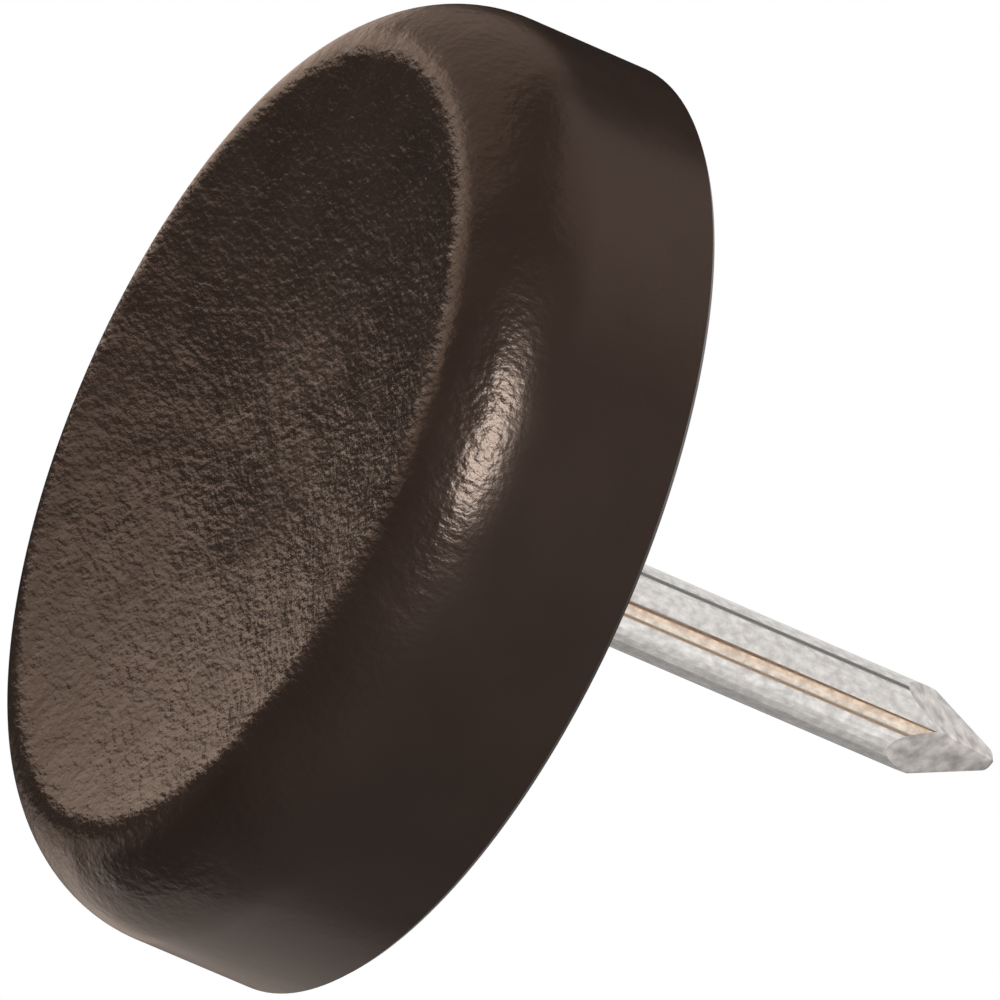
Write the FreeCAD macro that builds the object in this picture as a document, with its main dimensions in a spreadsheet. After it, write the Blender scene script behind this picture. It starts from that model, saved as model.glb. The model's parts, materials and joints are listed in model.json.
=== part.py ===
import FreeCAD, Part
import math
import os
import Sketcher

# Nail-on furniture glide, millimetres: +Z up along the nail, glide face down on Z = 0.

doc = FreeCAD.newDocument("nail_on_glide")

# Driving sizes
dims = doc.addObject("Spreadsheet::Sheet", "dims")
sizes = [
    ("glide_diameter", 25.0, "across the plastic foot's side wall"),
    ("glide_height", 6.3, "rim to seat face"),
    ("front_edge_radius", 3.25, "round from the side wall to the rim"),
    ("rim_inset", 2.13, "side wall to the crest of the rim"),
    ("rim_radius", 1.5, "round of the rim's crest"),
    ("dish_depth", 1.0, "rim to the bottom of the dished face"),
    ("seat_edge_break", 0.12, "bevel at the seat face's edge"),
    ("wire_diameter", 2.25, "nail shank"),
    ("nail_standout", 16.15, "seat face to the nail's tip"),
    ("point_length", 3.7, "length of the point's flats, measured to where they meet"),
    ("tip_blunting", 0.5, "how far the blunt tip stops short of that meeting point"),
    ("tip_radius", 0.35, "round of the blunt tip"),
    ("tip_shoulder_angle", 45.0, "slope of the blank beside that round, in degrees from the axis"),
    ("head_diameter", 6.0, "nail head inside the plastic"),
    ("head_thickness", 1.2, "nail head inside the plastic"),
    ("head_cover", 1.6, "plastic between the dish and the nail head"),
    ("neck_flare", 0.45, "added to the shank's radius where it meets the head"),
    ("moulding_clearance", 0.01, "between the plastic and the nail in it"),
]
for row, (name, value, meaning) in enumerate(sizes, start=1):
    dims.set(f"A{row}", name)
    dims.set(f"B{row}", str(value))
    dims.set(f"C{row}", meaning)
    dims.setAlias(f"B{row}", name)
doc.recompute()

POINT_SIDES = 4
FULL_TURN = 360.0

START, END, CENTRE = range(1, 4)
ORIGIN = (-1, 1)
V_AXIS = -2


def size(name):
    """The sheet's value, for a sketch's first guess before its constraints move it."""
    return dims.get(name)


def origin_feature(body, role):
    return next(item for item in body.Origin.OriginFeatures if item.Role == role)


def upright_sketch(body, name):
    """A sketch in the XZ plane: its x is the radius, its y is the height."""
    sketch = body.newObject("Sketcher::SketchObject", name)
    sketch.AttachmentSupport = (origin_feature(body, "XZ_Plane"), [""])
    sketch.MapMode = "FlatFace"
    return sketch


def bind(sketch, constraint, name, expression):
    index = sketch.addConstraint(constraint)
    sketch.renameConstraint(index, name)
    sketch.setExpression(f"Constraints.{name}", expression)


def place(sketch, geometry, point, name, radius, height):
    """Holds a point at a height, and at a radius or on the axis where radius is None."""
    here = sketch.getPoint(geometry, point)
    if radius is None:
        sketch.addConstraint(Sketcher.Constraint("PointOnObject", geometry, point, V_AXIS))
    else:
        across = Sketcher.Constraint("DistanceX", *ORIGIN, geometry, point, here.x)
        bind(sketch, across, f"{name}_radius", radius)
    up = Sketcher.Constraint("DistanceY", *ORIGIN, geometry, point, here.y)
    bind(sketch, up, f"{name}_height", height)


def polyline(sketch, corners, closed):
    """Straight runs through (x, y) corners, joined end to start."""
    points = [FreeCAD.Vector(x, y, 0) for x, y in corners]
    ends = points[1:] + points[:1] if closed else points[1:]
    lines = [sketch.addGeometry(Part.LineSegment(a, b)) for a, b in zip(points, ends)]
    following = lines[1:] + lines[:1] if closed else lines[1:]
    for first, second in zip(lines, following):
        sketch.addConstraint(Sketcher.Constraint("Coincident", first, END, second, START))
    return lines


def arc(sketch, centre, radius, start_angle, end_angle):
    circle = Part.Circle(FreeCAD.Vector(*centre, 0), FreeCAD.Vector(0, 0, 1), radius)
    return sketch.addGeometry(Part.ArcOfCircle(circle, start_angle, end_angle))


def revolve(body, kind, name, sketch):
    feature = body.newObject(kind, name)
    feature.Profile = sketch
    feature.ReferenceAxis = (sketch, ["V_Axis"])
    feature.Angle = FULL_TURN
    sketch.Visibility = False
    doc.recompute()
    return feature


# Heights that both pieces share, as expressions of the sheet
side_radius = "dims.glide_diameter / 2"
shank_radius = "dims.wire_diameter / 2"
head_radius = "dims.head_diameter / 2"
neck_radius = "dims.wire_diameter / 2 + dims.neck_flare"
seat_height = "dims.glide_height"
head_low = "dims.dish_depth + dims.head_cover"
head_high = "dims.dish_depth + dims.head_cover + dims.head_thickness"
tip_height = "dims.glide_height + dims.nail_standout"
flats_meet = "dims.glide_height + dims.nail_standout + dims.tip_blunting"


# Plastic foot
def foot_profile(body):
    """Half section: axis, seat face, side wall, front edge, rim crest and dish, all tangent."""
    outer = size("glide_diameter") / 2
    top = size("glide_height")
    edge = size("front_edge_radius")
    crest = size("rim_radius")
    depth = size("dish_depth")
    crest_x = outer - size("rim_inset")
    edge_x = outer - edge
    edge_y = crest + math.sqrt((edge - crest) ** 2 - (crest_x - edge_x) ** 2)
    dish = (crest_x**2 + depth**2 - 2 * crest * depth) / (2 * depth)
    to_edge = math.atan2(crest - edge_y, crest_x - edge_x)
    to_dish = math.atan2(crest - (depth - dish), crest_x)

    sketch = upright_sketch(body, "foot_profile")
    corners = [(0, depth), (0, top), (outer, top), (outer, edge_y)]
    axis, seat, side = polyline(sketch, corners, closed=False)
    front_edge = arc(sketch, (edge_x, edge_y), edge, to_edge, 0)
    rim = arc(sketch, (crest_x, crest), crest, to_dish + math.pi, to_edge + 2 * math.pi)
    bowl = arc(sketch, (0, depth - dish), dish, to_dish, math.pi / 2)

    sketch.addConstraint(Sketcher.Constraint("Vertical", side))
    sketch.addConstraint(Sketcher.Constraint("Horizontal", seat))
    sketch.addConstraint(Sketcher.Constraint("Tangent", side, END, front_edge, END))
    sketch.addConstraint(Sketcher.Constraint("Tangent", front_edge, START, rim, END))
    sketch.addConstraint(Sketcher.Constraint("Tangent", rim, START, bowl, START))
    sketch.addConstraint(Sketcher.Constraint("Coincident", bowl, END, axis, START))
    sketch.addConstraint(Sketcher.Constraint("PointOnObject", bowl, CENTRE, V_AXIS))
    sketch.addConstraint(Sketcher.Constraint("PointOnObject", axis, END, V_AXIS))
    place(sketch, axis, START, "dish_bottom", None, "dims.dish_depth")
    place(sketch, seat, END, "seat_edge", side_radius, seat_height)
    place(sketch, rim, CENTRE, "rim_centre", f"{side_radius} - dims.rim_inset", "dims.rim_radius")
    bind(sketch, Sketcher.Constraint("Radius", rim, crest), "rim_round", "dims.rim_radius")
    bind(sketch, Sketcher.Constraint("Radius", front_edge, edge), "front_round", "dims.front_edge_radius")
    return sketch


def nail_hollow(body):
    """The space that the nail's head and neck take up in the moulding, with the named clearance."""
    gap = size("moulding_clearance")
    low = size("dish_depth") + size("head_cover") - gap
    high = low + size("head_thickness") + 2 * gap
    top = size("glide_height")
    shank = size("wire_diameter") / 2 + gap
    neck = shank + size("neck_flare")
    head = size("head_diameter") / 2 + gap

    sketch = upright_sketch(body, "nail_hollow")
    corners = [(0, low), (head, low), (head, high), (neck, high), (shank, top), (0, top)]
    lines = polyline(sketch, corners, closed=True)
    with_gap = "+ dims.moulding_clearance"
    places = [
        ("floor_axis", None, f"{head_low} - dims.moulding_clearance"),
        ("floor_edge", f"{head_radius} {with_gap}", f"{head_low} - dims.moulding_clearance"),
        ("roof_edge", f"{head_radius} {with_gap}", f"{head_high} {with_gap}"),
        ("neck_edge", f"{neck_radius} {with_gap}", f"{head_high} {with_gap}"),
        ("mouth_edge", f"{shank_radius} {with_gap}", seat_height),
        ("mouth_axis", None, seat_height),
    ]
    for line, (name, radius, height) in zip(lines, places):
        place(sketch, line, START, name, radius, height)
    return sketch


def circle_edge(feature, radius, height):
    """Name of the feature's round edge at this radius and height."""
    for number, edge in enumerate(feature.Shape.Edges, start=1):
        round_edge = isinstance(edge.Curve, Part.Circle)
        if round_edge and math.isclose(edge.Curve.Radius, radius) and math.isclose(edge.Curve.Center.z, height):
            return f"Edge{number}"
    raise RuntimeError(f"{feature.Name} has no round edge at radius {radius} and height {height}")


foot = doc.addObject("PartDesign::Body", "glide_base")
foot.Label = "glide_base"
moulding = revolve(foot, "PartDesign::Revolution", "moulding", foot_profile(foot))
solid_foot = moulding.Shape.Volume
cavity = revolve(foot, "PartDesign::Groove", "cavity", nail_hollow(foot))
if not cavity.Shape.Volume < solid_foot:
    raise RuntimeError("the nail's hollow cut nothing")
seat_edge = foot.newObject("PartDesign::Chamfer", "seat_edge")
seat_edge.Base = (cavity, [circle_edge(cavity, size("glide_diameter") / 2, size("glide_height"))])
seat_edge.setExpression("Size", "dims.seat_edge_break")
doc.recompute()


# Steel nail
def nail_blank_profile(body):
    """Half section before the point is cut: head, flared neck, shank and a blunt round tip."""
    low = size("dish_depth") + size("head_cover")
    high = low + size("head_thickness")
    seat = size("glide_height")
    tip = seat + size("nail_standout")
    shank = size("wire_diameter") / 2
    neck = shank + size("neck_flare")
    head = size("head_diameter") / 2
    ball = size("tip_radius")
    slope = math.radians(size("tip_shoulder_angle"))
    ball_y = tip - ball
    round_x = ball * math.cos(slope)
    round_y = ball_y + ball * math.sin(slope)
    shoulder = round_y - (shank - round_x) / math.tan(slope)

    sketch = upright_sketch(body, "nail_blank_profile")
    corners = [
        (0, tip),
        (0, low),
        (head, low),
        (head, high),
        (neck, high),
        (shank, seat),
        (shank, shoulder),
        (round_x, round_y),
    ]
    lines = polyline(sketch, corners, closed=False)
    axis, floor, side, roof, flare, shank_line, shoulder_line = lines
    tip_round = arc(sketch, (0, ball_y), ball, slope, math.pi / 2)
    sketch.addConstraint(Sketcher.Constraint("Tangent", shoulder_line, END, tip_round, START))
    sketch.addConstraint(Sketcher.Constraint("Coincident", tip_round, END, axis, START))
    sketch.addConstraint(Sketcher.Constraint("PointOnObject", tip_round, CENTRE, V_AXIS))
    sketch.addConstraint(Sketcher.Constraint("Vertical", shank_line))
    shoulder_angle = Sketcher.Constraint("Angle", shoulder_line, math.pi / 2 + slope)
    bind(sketch, shoulder_angle, "shoulder_angle", "(90 + dims.tip_shoulder_angle) * 1 deg")
    bind(sketch, Sketcher.Constraint("Radius", tip_round, ball), "tip_round", "dims.tip_radius")
    place(sketch, axis, START, "tip", None, tip_height)
    place(sketch, floor, START, "head_axis", None, head_low)
    place(sketch, side, START, "head_floor", head_radius, head_low)
    place(sketch, roof, START, "head_roof", head_radius, head_high)
    place(sketch, flare, START, "neck", neck_radius, head_high)
    place(sketch, shank_line, START, "shank", shank_radius, seat_height)
    return sketch


def point_flat_profile(body):
    """The wedge that one flat of the point removes, from where the flats meet to beside the shank."""
    reach = size("wire_diameter")
    meet = size("glide_height") + size("nail_standout") + size("tip_blunting")
    foot_y = meet - 2 * size("point_length")

    sketch = upright_sketch(body, "point_flat_profile")
    corners = [(0, meet), (reach, foot_y), (reach, meet)]
    lines = polyline(sketch, corners, closed=True)
    places = [
        ("meet", None, flats_meet),
        ("low", "dims.wire_diameter", f"{flats_meet} - 2 * dims.point_length"),
        ("outside", "dims.wire_diameter", flats_meet),
    ]
    for line, (name, radius, height) in zip(lines, places):
        place(sketch, line, START, name, radius, height)
    return sketch


nail = doc.addObject("PartDesign::Body", "nail")
nail.Label = "nail"
blank = revolve(nail, "PartDesign::Revolution", "blank", nail_blank_profile(nail))
first_flat = nail.newObject("PartDesign::Pocket", "first_flat")
first_flat.Profile = point_flat_profile(nail)
first_flat.Type = "ThroughAll"
first_flat.SideType = "Symmetric"
doc.recompute()
if not first_flat.Shape.Volume < blank.Shape.Volume:
    raise RuntimeError("the point's first flat cut nothing")
point = nail.newObject("PartDesign::PolarPattern", "point")
point.Originals = [first_flat]
point.Axis = (origin_feature(nail, "Z_Axis"), [""])
point.Angle = FULL_TURN
point.Occurrences = POINT_SIDES
nail.Tip = point
doc.recompute()

# Check the document, then write one file for each piece
for item in doc.Objects:
    if "Invalid" in item.State or "Error" in item.State:
        raise RuntimeError(f"{item.Name} failed: {item.State}")
os.makedirs("parts", exist_ok=True)
for piece in (foot, nail):
    if piece.Shape.isNull() or not piece.Shape.isValid():
        raise RuntimeError(f"{piece.Label} has no valid shape")
    piece.Shape.exportStep(f"parts/{piece.Label}.step")
    box = piece.Shape.BoundBox
    print(piece.Label, len(piece.Shape.Solids), "solid", round(piece.Shape.Volume, 2), "mm3", box)
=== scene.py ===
import json
import math

import bpy
from mathutils import Matrix, Vector


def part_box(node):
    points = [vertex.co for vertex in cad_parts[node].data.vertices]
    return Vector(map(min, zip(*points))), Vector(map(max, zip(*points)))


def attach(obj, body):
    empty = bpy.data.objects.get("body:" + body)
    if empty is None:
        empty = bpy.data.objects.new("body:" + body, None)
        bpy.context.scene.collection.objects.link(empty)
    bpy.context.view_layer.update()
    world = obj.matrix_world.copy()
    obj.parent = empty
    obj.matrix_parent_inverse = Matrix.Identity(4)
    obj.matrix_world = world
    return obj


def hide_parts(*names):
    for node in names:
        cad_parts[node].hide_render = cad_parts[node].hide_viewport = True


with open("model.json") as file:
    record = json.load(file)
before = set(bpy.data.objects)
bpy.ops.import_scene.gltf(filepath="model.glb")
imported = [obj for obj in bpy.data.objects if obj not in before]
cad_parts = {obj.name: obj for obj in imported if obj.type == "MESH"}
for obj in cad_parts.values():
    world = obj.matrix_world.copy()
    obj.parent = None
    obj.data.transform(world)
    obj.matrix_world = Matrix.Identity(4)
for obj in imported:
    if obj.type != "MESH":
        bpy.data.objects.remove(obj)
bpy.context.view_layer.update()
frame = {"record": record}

MM = 0.001
UM = 0.000001

# Sizes that the frame gives
foot_low, foot_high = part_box("glide_base")
nail_low, nail_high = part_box("nail")
shank_mount = next(mount for mount in frame["record"]["mounts"] if mount["name"] == "nail_shank")
SIDE_RADIUS = foot_high[0]
SEAT_HEIGHT = foot_high[2]
HEAD_RADIUS = nail_high[0]
HEAD_LOW = nail_low[2]
TIP_HEIGHT = nail_high[2]
SHANK_RADIUS = shank_mount["dims"]["r_mm"] * MM

# Sizes of the moulding's section and of the nail, as in the solids
FRONT_EDGE_RADIUS = 3.25 * MM
RIM_INSET = 2.13 * MM
RIM_RADIUS = 1.5 * MM
DISH_DEPTH = 1.0 * MM
SEAT_EDGE_BREAK = 0.12 * MM
MOULDING_CLEARANCE = 0.01 * MM
CROWN_HEIGHT = 0.1 * MM
CROWN_REACH = 4.0 * MM
HEAD_THICKNESS = 1.2 * MM
NECK_FLARE = 0.45 * MM
POINT_LENGTH = 3.7 * MM
TIP_BLUNTING = 0.5 * MM
POINT_SIDES = 4

# How far the point's edges are rounded
TIP_ROUNDING = 0.17 * MM
RIDGE_ROUNDING = 0.15 * MM
FLAT_EDGE_ROUNDING = 0.07 * MM

# How finely the meshes are cut
FOOT_STEPS = 192
SHANK_STEPS = 96
MERGE_WITHIN = 0.2 * UM

# The photograph's view: angles of the nail's axis, and the frame that the image covers
AXIS_TILT_COS = 0.3897
AXIS_ROLL = math.radians(23.29)
CAMERA_AZIMUTH = math.radians(55.0)
IMAGE_PIXELS = 1000
IMAGE_WIDTH = 24.93 * MM
FOOT_CENTRE_PIXEL = (234.9, 436.7)
CAMERA_DISTANCE = 1.0

# Where the lamps stand, and the strips that the nail mirrors
LAMP_DISTANCE = 0.4
STRIP_DISTANCE = 0.015
STRIP_LOW = 0.0122
CARD_TOP = 0.06
EDGE_TOP = 0.031

# Directions across the glide face: towards the camera, and square to it, up in the image
face_across = Vector((math.cos(CAMERA_AZIMUTH), math.sin(CAMERA_AZIMUTH)))
face_along = Vector((math.sin(CAMERA_AZIMUTH), -math.cos(CAMERA_AZIMUTH)))


def deselect_all():
    bpy.ops.object.select_all(action="DESELECT")


def pick(piece, kind, test):
    """Selects the vertices, edges or faces that pass the test, in edit mode."""
    bpy.ops.mesh.select_mode(type=kind)
    bpy.ops.mesh.select_all(action="DESELECT")
    bpy.ops.object.mode_set(mode="OBJECT")
    mesh = piece.data
    parts = {"VERT": mesh.vertices, "EDGE": mesh.edges, "FACE": mesh.polygons}[kind]
    for part in parts:
        part.select = test(part)
    bpy.ops.object.mode_set(mode="EDIT")


def arc_points(centre, radius, start, end, count):
    """Points along an arc of the half section, its first point left to the run before it."""
    turn = (end - start) / count
    angles = [start + turn * step for step in range(1, count + 1)]
    return [(centre[0] + radius * math.cos(a), centre[1] + radius * math.sin(a)) for a in angles]


def run_points(start, end, count):
    """Points along a straight run, its first point left to the run before it."""
    shares = [step / count for step in range(1, count + 1)]
    return [(start[0] + (end[0] - start[0]) * s, start[1] + (end[1] - start[1]) * s) for s in shares]


# Plastic foot
def foot_section():
    """Half section from the middle of the dish round to the floor of the nail's hollow."""
    crest_x = SIDE_RADIUS - RIM_INSET
    edge_x = SIDE_RADIUS - FRONT_EDGE_RADIUS
    edge_y = RIM_RADIUS + math.sqrt((FRONT_EDGE_RADIUS - RIM_RADIUS) ** 2 - (crest_x - edge_x) ** 2)
    dish = (crest_x**2 + DISH_DEPTH**2 - 2 * RIM_RADIUS * DISH_DEPTH) / (2 * DISH_DEPTH)
    to_edge = math.atan2(RIM_RADIUS - edge_y, crest_x - edge_x)
    to_dish = math.atan2(RIM_RADIUS - (DISH_DEPTH - dish), crest_x)
    seat_round = SEAT_HEIGHT - SEAT_EDGE_BREAK
    mouth = SHANK_RADIUS + MOULDING_CLEARANCE
    neck = mouth + NECK_FLARE
    head = HEAD_RADIUS + MOULDING_CLEARANCE
    roof = HEAD_LOW + HEAD_THICKNESS + MOULDING_CLEARANCE
    floor = HEAD_LOW - MOULDING_CLEARANCE

    section = [(0, DISH_DEPTH)]
    section += arc_points((0, DISH_DEPTH - dish), dish, math.pi / 2, to_dish, 56)
    section += arc_points((crest_x, RIM_RADIUS), RIM_RADIUS, to_dish - math.pi, to_edge, 12)
    section += arc_points((edge_x, edge_y), FRONT_EDGE_RADIUS, to_edge, 0, 20)
    section += run_points(section[-1], (SIDE_RADIUS, seat_round), 10)
    section += run_points(section[-1], (SIDE_RADIUS - SEAT_EDGE_BREAK, SEAT_HEIGHT), 2)
    section += run_points(section[-1], (mouth, SEAT_HEIGHT), 14)
    section += run_points(section[-1], (neck, roof), 3)
    section += run_points(section[-1], (head, roof), 2)
    section += run_points(section[-1], (head, floor), 2)
    section += run_points(section[-1], (0, floor), 3)
    return section


def mould_foot():
    """The half section is drawn point by point, spun round the axis and closed."""
    section = foot_section()
    deselect_all()
    start = (section[0][0], 0, section[0][1])
    bpy.ops.mesh.primitive_plane_add(size=MM, location=start)
    foot = bpy.context.object
    foot.name = "glide_foot"
    bpy.ops.object.transform_apply(location=True, rotation=True, scale=True)
    bpy.ops.object.mode_set(mode="EDIT")
    bpy.ops.mesh.select_mode(type="VERT")
    bpy.ops.mesh.select_all(action="SELECT")
    bpy.ops.mesh.merge(type="CENTER")
    for here, there in zip(section, section[1:]):
        step = (there[0] - here[0], 0, there[1] - here[1])
        bpy.ops.mesh.extrude_vertices_move(TRANSFORM_OT_translate={"value": step})
    bpy.ops.mesh.select_all(action="SELECT")
    bpy.ops.mesh.spin(steps=FOOT_STEPS, angle=math.tau, center=(0, 0, 0), axis=(0, 0, 1))
    bpy.ops.mesh.select_all(action="SELECT")
    bpy.ops.mesh.remove_doubles(threshold=MERGE_WITHIN)
    bpy.ops.mesh.normals_make_consistent(inside=False)
    raise_crown(foot)
    bpy.ops.object.mode_set(mode="OBJECT")
    bpy.ops.object.shade_smooth_by_angle(angle=math.radians(40))
    return foot


def raise_crown(foot):
    """The plastic stands a little proud over the nail's head, to one side of the middle of the dish."""
    place = Vector((*(face_across * -0.3 - face_along * 1.7), 0)) * MM
    near = min(
        (vertex for vertex in foot.data.vertices if vertex.co.z < DISH_DEPTH + UM),
        key=lambda vertex: (vertex.co.xy - place.xy).length,
    ).index
    pick(foot, "VERT", lambda vertex: vertex.index == near)
    bpy.ops.transform.translate(
        value=(0, 0, -CROWN_HEIGHT),
        use_proportional_edit=True,
        use_proportional_connected=True,
        proportional_edit_falloff="SMOOTH",
        proportional_size=CROWN_REACH,
    )


# Steel nail
def forge_nail():
    """A length of wire, cut to a four-sided point, its other end drawn down to a neck and a flat head."""
    deselect_all()
    length = TIP_HEIGHT - SEAT_HEIGHT
    bpy.ops.mesh.primitive_cylinder_add(
        vertices=SHANK_STEPS,
        radius=SHANK_RADIUS,
        depth=length,
        location=(0, 0, SEAT_HEIGHT + length / 2),
    )
    nail = bpy.context.object
    nail.name = "steel_nail"
    bpy.ops.object.transform_apply(location=True, rotation=True, scale=True)
    bpy.ops.object.mode_set(mode="EDIT")
    cut_point()
    draw_down_head(nail)
    bpy.ops.mesh.select_all(action="SELECT")
    bpy.ops.mesh.normals_make_consistent(inside=False)
    soften_point(nail)
    bpy.ops.object.mode_set(mode="OBJECT")
    bpy.ops.object.shade_smooth_by_angle(angle=math.radians(30))
    return nail


def cut_point():
    """Each flat is one slanted cut through the wire's cropped end."""
    meet = (0, 0, TIP_HEIGHT + TIP_BLUNTING)
    lean = math.atan2(SHANK_RADIUS, POINT_LENGTH)
    for side in range(POINT_SIDES):
        facing = math.tau * side / POINT_SIDES
        outward = (math.cos(lean) * math.cos(facing), math.cos(lean) * math.sin(facing), math.sin(lean))
        bpy.ops.mesh.select_all(action="SELECT")
        bpy.ops.mesh.bisect(
            plane_co=meet, plane_no=outward, use_fill=True, clear_outer=True, threshold=MERGE_WITHIN
        )


def draw_down_head(nail):
    """The end at the seat is extruded to the flared neck, out to the head and down by its thickness."""
    head_high = HEAD_LOW + HEAD_THICKNESS
    neck = SHANK_RADIUS + NECK_FLARE
    pick(nail, "FACE", lambda face: face.normal.z < -0.9)
    runs = [
        (head_high - SEAT_HEIGHT, neck / SHANK_RADIUS),
        (0, HEAD_RADIUS / neck),
        (-HEAD_THICKNESS, 1),
    ]
    for drop, spread in runs:
        bpy.ops.mesh.extrude_region_move(TRANSFORM_OT_translate={"value": (0, 0, drop)})
        bpy.ops.transform.resize(value=(spread, spread, 1))


def soften_point(nail):
    """The cropped tip is rounded, then the ridges and the flats' edges lose their sharpness."""
    near = 2 * UM
    vertices = nail.data.vertices
    flats_start = TIP_HEIGHT + TIP_BLUNTING - POINT_LENGTH - near

    def ends(edge):
        return [vertices[index].co for index in edge.vertices]

    def at_tip(edge):
        return all(end.z > TIP_HEIGHT - near for end in ends(edge))

    def on_ridge(edge):
        return all(end.z > flats_start and abs(abs(end.x) - abs(end.y)) < near for end in ends(edge))

    def round_a_flat(edge):
        first, second = ends(edge)
        on_wire = all(abs(end.xy.length - SHANK_RADIUS) < near for end in (first, second))
        on_point = first.z > flats_start and second.z > flats_start
        return on_wire and on_point and (first.xy - second.xy).length > near

    pick(nail, "EDGE", at_tip)
    bpy.ops.mesh.bevel(offset=TIP_ROUNDING, segments=6, profile=0.5, affect="EDGES")
    pick(nail, "EDGE", lambda edge: on_ridge(edge) and not at_tip(edge))
    bpy.ops.mesh.bevel(offset=RIDGE_ROUNDING, segments=4, profile=0.5, affect="EDGES", clamp_overlap=True)
    pick(nail, "EDGE", round_a_flat)
    bpy.ops.mesh.bevel(offset=FLAT_EDGE_ROUNDING, segments=3, profile=0.5, affect="EDGES", clamp_overlap=True)


foot = mould_foot()
nail = forge_nail()


# Materials
def new_material(name):
    material = bpy.data.materials.new(name)
    material.use_nodes = True
    nodes = material.node_tree.nodes
    links = material.node_tree.links
    return material, nodes, links, nodes["Principled BSDF"]


def object_noise(nodes, links, scale, detail, stretch=(1, 1, 1), turn=0):
    """Noise on the piece's own coordinates, per metre, turned about Z and drawn out by stretch."""
    place = nodes.new("ShaderNodeTexCoord")
    mapping = nodes.new("ShaderNodeMapping")
    mapping.vector_type = "TEXTURE"
    mapping.inputs["Scale"].default_value = stretch
    mapping.inputs["Rotation"].default_value = (0, 0, turn)
    noise = nodes.new("ShaderNodeTexNoise")
    noise.inputs["Scale"].default_value = scale
    noise.inputs["Detail"].default_value = detail
    links.new(place.outputs["Object"], mapping.inputs["Vector"])
    links.new(mapping.outputs["Vector"], noise.inputs["Vector"])
    return noise.outputs["Fac"]


def ranged(nodes, links, source, from_low, from_high, to_low, to_high):
    """Maps a value from one range to another, smoothly."""
    node = nodes.new("ShaderNodeMapRange")
    node.interpolation_type = "SMOOTHSTEP"
    node.inputs["From Min"].default_value = from_low
    node.inputs["From Max"].default_value = from_high
    node.inputs["To Min"].default_value = to_low
    node.inputs["To Max"].default_value = to_high
    links.new(source, node.inputs["Value"])
    return node.outputs["Result"]


def times(nodes, links, first, second):
    node = nodes.new("ShaderNodeMath")
    node.operation = "MULTIPLY"
    links.new(first, node.inputs[0])
    links.new(second, node.inputs[1])
    return node.outputs["Value"]


def object_height(nodes, links):
    place = nodes.new("ShaderNodeTexCoord")
    split = nodes.new("ShaderNodeSeparateXYZ")
    links.new(place.outputs["Object"], split.inputs["Vector"])
    return split.outputs["Z"]


def two_tones(nodes, links, source, dark, light):
    ramp = nodes.new("ShaderNodeValToRGB")
    ramp.color_ramp.elements[0].color = (*dark, 1)
    ramp.color_ramp.elements[1].color = (*light, 1)
    ramp.color_ramp.elements[0].position = 0.3
    ramp.color_ramp.elements[1].position = 0.7
    links.new(source, ramp.inputs["Fac"])
    return ramp.outputs["Color"]


def bump(nodes, links, height, distance, strength=None, under=None):
    node = nodes.new("ShaderNodeBump")
    node.inputs["Distance"].default_value = distance
    links.new(height, node.inputs["Height"])
    if strength is not None:
        links.new(strength, node.inputs["Strength"])
    if under is not None:
        links.new(under, node.inputs["Normal"])
    return node.outputs["Normal"]


def brown_plastic():
    """Dark brown moulding: grained face and rim, satin side wall and seat."""
    material, nodes, links, shader = new_material("brown_moulded_plastic")
    mottle = object_noise(nodes, links, 420, 3)
    links.new(
        two_tones(nodes, links, mottle, (0.0235, 0.0152, 0.0118), (0.0275, 0.018, 0.014)),
        shader.inputs["Base Color"],
    )
    height = object_height(nodes, links)
    grained = ranged(nodes, links, height, 0.9 * MM, 2.6 * MM, 1.0, 0.12)
    waves = bump(nodes, links, object_noise(nodes, links, 750, 1), 60 * UM, grained)
    grain = object_noise(nodes, links, 4800, 2, (1.6, 1, 1), CAMERA_AZIMUTH)
    links.new(bump(nodes, links, grain, 31 * UM, grained, waves), shader.inputs["Normal"])
    links.new(ranged(nodes, links, mottle, 0.3, 0.7, 0.26, 0.31), shader.inputs["Roughness"])
    shader.inputs["IOR"].default_value = 1.46
    shader.inputs["Specular IOR Level"].default_value = 0.55
    shader.inputs["Specular Tint"].default_value = (1.0, 0.84, 0.74, 1)
    return material


def bright_wire():
    """Drawn steel wire: faint lines along it, and dull blotches where it has been handled."""
    material, nodes, links, shader = new_material("bright_steel_wire")
    lines = object_noise(nodes, links, 9000, 2, (1, 1, 56))
    blotches = object_noise(nodes, links, 6000, 4, (1, 1, 1.4))
    finish = times(nodes, links, ranged(nodes, links, lines, 0.2, 0.8, 0.8, 1.0), blotches)
    links.new(
        two_tones(nodes, links, finish, (0.62, 0.60, 0.59), (0.95, 0.94, 0.925)),
        shader.inputs["Base Color"],
    )
    links.new(ranged(nodes, links, finish, 0.3, 0.6, 0.16, 0.07), shader.inputs["Roughness"])
    links.new(bump(nodes, links, lines, 0.5 * UM), shader.inputs["Normal"])
    shader.inputs["Metallic"].default_value = 1.0
    return material


def clipped_steel():
    """The point's cut flats: duller and mottled."""
    material, nodes, links, shader = new_material("clipped_steel_point")
    mottle = object_noise(nodes, links, 2700, 5)
    links.new(
        two_tones(nodes, links, mottle, (0.42, 0.39, 0.38), (0.88, 0.855, 0.84)),
        shader.inputs["Base Color"],
    )
    links.new(ranged(nodes, links, mottle, 0.3, 0.7, 0.42, 0.26), shader.inputs["Roughness"])
    links.new(bump(nodes, links, mottle, 12 * UM), shader.inputs["Normal"])
    shader.inputs["Metallic"].default_value = 1.0
    return material


def paint_nail(nail):
    """The shank keeps the wire's finish, and the slanted flats and the tip get the clipped one."""
    nail.data.materials.append(bright_wire())
    nail.data.materials.append(clipped_steel())
    flats_start = TIP_HEIGHT + TIP_BLUNTING - POINT_LENGTH - 0.2 * MM
    for face in nail.data.polygons:
        if face.center.z > flats_start and face.normal.z > 0.1:
            face.material_index = 1


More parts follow.
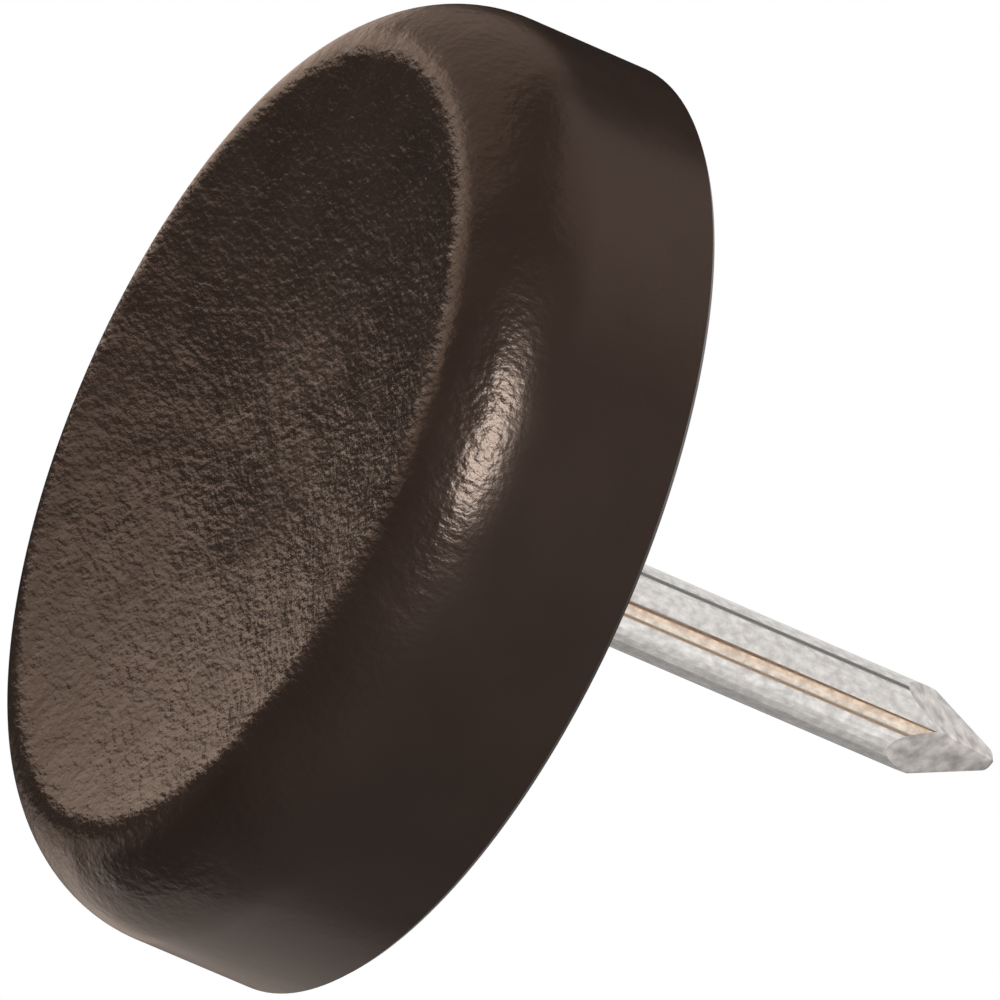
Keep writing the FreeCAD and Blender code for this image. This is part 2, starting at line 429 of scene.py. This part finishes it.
foot.data.materials.append(brown_plastic())
paint_nail(nail)

for piece, node, finish in ((foot, "glide_base", "plastic"), (nail, "nail", "steel")):
    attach(piece, "root")
    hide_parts(node)

# The photograph's own axes: across to the right, up, and towards the camera
view_flat = math.sqrt(1 - AXIS_TILT_COS**2)
away = Vector((math.cos(CAMERA_AZIMUTH), math.sin(CAMERA_AZIMUTH), 0))
to_camera = away * view_flat - Vector((0, 0, 1)) * AXIS_TILT_COS
along_nail = (Vector((0, 0, 1)) - to_camera * to_camera.z).normalized()
beside_nail = to_camera.cross(along_nail)
image_right = along_nail * math.cos(AXIS_ROLL) + beside_nail * math.sin(AXIS_ROLL)
image_up = beside_nail * math.cos(AXIS_ROLL) - along_nail * math.sin(AXIS_ROLL)


def photo_direction(right, up, near):
    return (image_right * right + image_up * up + to_camera * near).normalized()


def aim(right_axis, back_axis):
    """A turn whose local X is near right_axis and whose local Z is back_axis."""
    back = back_axis.normalized()
    up = back.cross(right_axis).normalized()
    return Matrix((up.cross(back), up, back)).transposed().to_4x4()


def photo_camera():
    """A long lens, placed so that the middle of the rim lands on its pixel."""
    pixel = IMAGE_WIDTH / IMAGE_PIXELS
    across = (IMAGE_PIXELS / 2 - FOOT_CENTRE_PIXEL[0]) * pixel
    down = (IMAGE_PIXELS / 2 - FOOT_CENTRE_PIXEL[1]) * pixel
    target = image_right * across - image_up * down
    data = bpy.data.cameras.new("photo_camera")
    data.sensor_width = 3.6
    data.lens = data.sensor_width * CAMERA_DISTANCE / IMAGE_WIDTH
    data.clip_start = 0.01
    data.clip_end = 20.0
    camera = bpy.data.objects.new("photo_camera", data)
    bpy.context.collection.objects.link(camera)
    stand = Matrix.Translation(target + to_camera * CAMERA_DISTANCE)
    camera.matrix_world = stand @ aim(image_right, to_camera)
    bpy.context.scene.camera = camera


def softbox(name, direction, edge, width, height, radiance, colour=(1, 1, 1)):
    """A rectangular lamp that faces the foot, its width along edge, at a given brightness of its face."""
    data = bpy.data.lights.new(name, "AREA")
    data.shape = "RECTANGLE"
    data.size = width
    data.size_y = height
    data.energy = radiance * math.pi * width * height
    data.color = colour
    lamp = bpy.data.objects.new(name, data)
    bpy.context.collection.objects.link(lamp)
    lamp.matrix_world = Matrix.Translation(direction * LAMP_DISTANCE) @ aim(edge, direction)
    lamp.visible_camera = False


def studio_lights():
    """Two panels light the face, a small box makes the rim's highlight, and the others fill in."""
    face_mirror = photo_direction(-0.66, 0.284, -0.696)

    def back_panel(name, width, low, high, radiance):
        lift = math.radians((low + high) / 2)
        height = 2 * LAMP_DISTANCE * math.tan(math.radians((high - low) / 2))
        direction = face_mirror * math.cos(lift) + beside_nail * math.sin(lift)
        softbox(name, direction, beside_nail.cross(direction), width, height, radiance, (1, 0.75, 0.6))

    back_panel("back_panel_low", 0.66, 2, 15, 1.22)
    back_panel("back_panel_high", 0.52, 15, 60, 0.42)
    key = photo_direction(0.01, 0.365, 0.93)
    softbox("front_top_box", key, image_right, 0.12, 0.16, 25.5, (1, 0.93, 0.89))
    upper_right = photo_direction(0.69, 0.70, -0.15)
    softbox("upper_right_box", upper_right, to_camera, 0.36, 0.36, 0.5, (1, 0.8, 0.7))
    low_back = photo_direction(-0.15, -0.62, -0.77)
    softbox("low_back_box", low_back, image_right, 0.5, 0.4, 0.5, (1, 0.84, 0.74))
    low_left = photo_direction(-0.5, -0.16, -0.85)
    softbox("low_left_box", low_left, beside_nail.cross(low_left), 0.36, 0.11, 0.55, (1, 0.78, 0.64))
    overhead = (Vector((0, 0, 1)) * 0.9 + beside_nail * 0.45).normalized()
    softbox("overhead_box", overhead, along_nail, 0.4, 0.4, 0.9)


def strip_beside_nail(name, azimuth, breadth, top, colour):
    """An upright strip that only reflections see, at an angle round the nail from the camera's side."""
    out = away * math.cos(math.radians(azimuth)) + beside_nail * math.sin(math.radians(azimuth))
    deselect_all()
    bpy.ops.mesh.primitive_plane_add(size=1.0)
    strip = bpy.context.object
    strip.name = name
    turn = aim(Vector((0, 0, 1)), -out)
    middle = out * STRIP_DISTANCE + Vector((0, 0, (STRIP_LOW + top) / 2))
    width = 2 * STRIP_DISTANCE * math.tan(math.radians(breadth / 2))
    reach = Matrix.Diagonal((top - STRIP_LOW, width, 1, 1))
    strip.matrix_world = Matrix.Translation(middle) @ turn @ reach
    material = bpy.data.materials.new(name)
    material.use_nodes = True
    nodes = material.node_tree.nodes
    glow = nodes.new("ShaderNodeEmission")
    glow.inputs["Color"].default_value = (*colour, 1)
    material.node_tree.links.new(glow.outputs["Emission"], nodes["Material Output"].inputs["Surface"])
    strip.data.materials.append(material)
    strip.visible_camera = False
    strip.visible_diffuse = False
    strip.visible_shadow = False


def nail_reflections():
    """What the wire mirrors along its length: pale cards, a dark edge and a warm gap between brown edges."""
    strip_beside_nail("pale_card_behind", 140, 62, CARD_TOP, (0.80, 0.79, 0.77))
    strip_beside_nail("dark_edge", 102, 14, EDGE_TOP, (0.20, 0.195, 0.195))
    strip_beside_nail("pale_card_above", 53.5, 85, CARD_TOP, (0.86, 0.84, 0.82))
    strip_beside_nail("brown_edge_high", 6.5, 9, EDGE_TOP, (0.22, 0.135, 0.085))
    strip_beside_nail("orange_gap", -3.5, 11, EDGE_TOP, (1.04, 0.82, 0.64))
    strip_beside_nail("cream_gap", -15.5, 13, EDGE_TOP, (1.0, 0.90, 0.79))
    strip_beside_nail("brown_edge_low", -26, 8, EDGE_TOP, (0.36, 0.25, 0.165))
    strip_beside_nail("pale_card_below", -45, 30, CARD_TOP, (0.94, 0.92, 0.89))
    strip_beside_nail("pale_grey_card", -70, 21, CARD_TOP, (0.74, 0.72, 0.70))
    strip_beside_nail("grey_card", -92, 24, CARD_TOP, (0.58, 0.565, 0.55))
    strip_beside_nail("dim_card", -137, 66, CARD_TOP, (0.37, 0.36, 0.35))


def studio_world():
    """White to the camera. To the pieces a pale room, dim on the left and bright on the right."""
    world = bpy.data.worlds.new("studio")
    bpy.context.scene.world = world
    world.use_nodes = True
    nodes = world.node_tree.nodes
    links = world.node_tree.links
    nodes.clear()
    output = nodes.new("ShaderNodeOutputWorld")
    path = nodes.new("ShaderNodeLightPath")
    place = nodes.new("ShaderNodeTexCoord")
    across = nodes.new("ShaderNodeVectorMath")
    across.operation = "DOT_PRODUCT"
    across.inputs[1].default_value = image_right * 0.5 - image_up * 0.7 + to_camera * 0.3
    links.new(place.outputs["Generated"], across.inputs[0])
    room = ranged(nodes, links, across.outputs["Value"], -0.4, 0.7, 0.01, 0.22)
    seen = nodes.new("ShaderNodeBackground")
    mirrored = nodes.new("ShaderNodeBackground")
    fill = nodes.new("ShaderNodeBackground")
    for light in (seen, mirrored, fill):
        light.inputs["Color"].default_value = (1, 1, 1, 1)
    fill.inputs["Strength"].default_value = 0.35
    links.new(room, mirrored.inputs["Strength"])
    glossy = nodes.new("ShaderNodeMath")
    glossy.operation = "MAXIMUM"
    links.new(path.outputs["Is Glossy Ray"], glossy.inputs[0])
    links.new(path.outputs["Is Transmission Ray"], glossy.inputs[1])
    to_pieces = nodes.new("ShaderNodeMixShader")
    links.new(glossy.outputs["Value"], to_pieces.inputs["Fac"])
    links.new(fill.outputs["Background"], to_pieces.inputs[1])
    links.new(mirrored.outputs["Background"], to_pieces.inputs[2])
    final = nodes.new("ShaderNodeMixShader")
    links.new(path.outputs["Is Camera Ray"], final.inputs["Fac"])
    links.new(to_pieces.outputs["Shader"], final.inputs[1])
    links.new(seen.outputs["Background"], final.inputs[2])
    links.new(final.outputs["Shader"], output.inputs["Surface"])


def studio_floor():
    """A pale floor under the rim, seen from above only, so that the camera can look up at the face."""
    deselect_all()
    bpy.ops.mesh.primitive_plane_add(size=4.0, location=(0, 0, 0))
    floor = bpy.context.object
    floor.name = "floor"
    material, nodes, links, shader = new_material("pale_floor")
    shader.inputs["Base Color"].default_value = (0.9, 0.9, 0.9, 1)
    shader.inputs["Roughness"].default_value = 0.9
    side = nodes.new("ShaderNodeNewGeometry")
    clear = nodes.new("ShaderNodeBsdfTransparent")
    mix = nodes.new("ShaderNodeMixShader")
    links.new(side.outputs["Backfacing"], mix.inputs["Fac"])
    links.new(shader.outputs["BSDF"], mix.inputs[1])
    links.new(clear.outputs["BSDF"], mix.inputs[2])
    links.new(mix.outputs["Shader"], nodes["Material Output"].inputs["Surface"])
    floor.data.materials.append(material)
    floor.visible_diffuse = False
    floor.visible_glossy = False
    floor.visible_transmission = False
    floor.visible_shadow = False


photo_camera()
studio_lights()
nail_reflections()
studio_world()
studio_floor()
bpy.context.scene.view_settings.view_transform = "Standard"
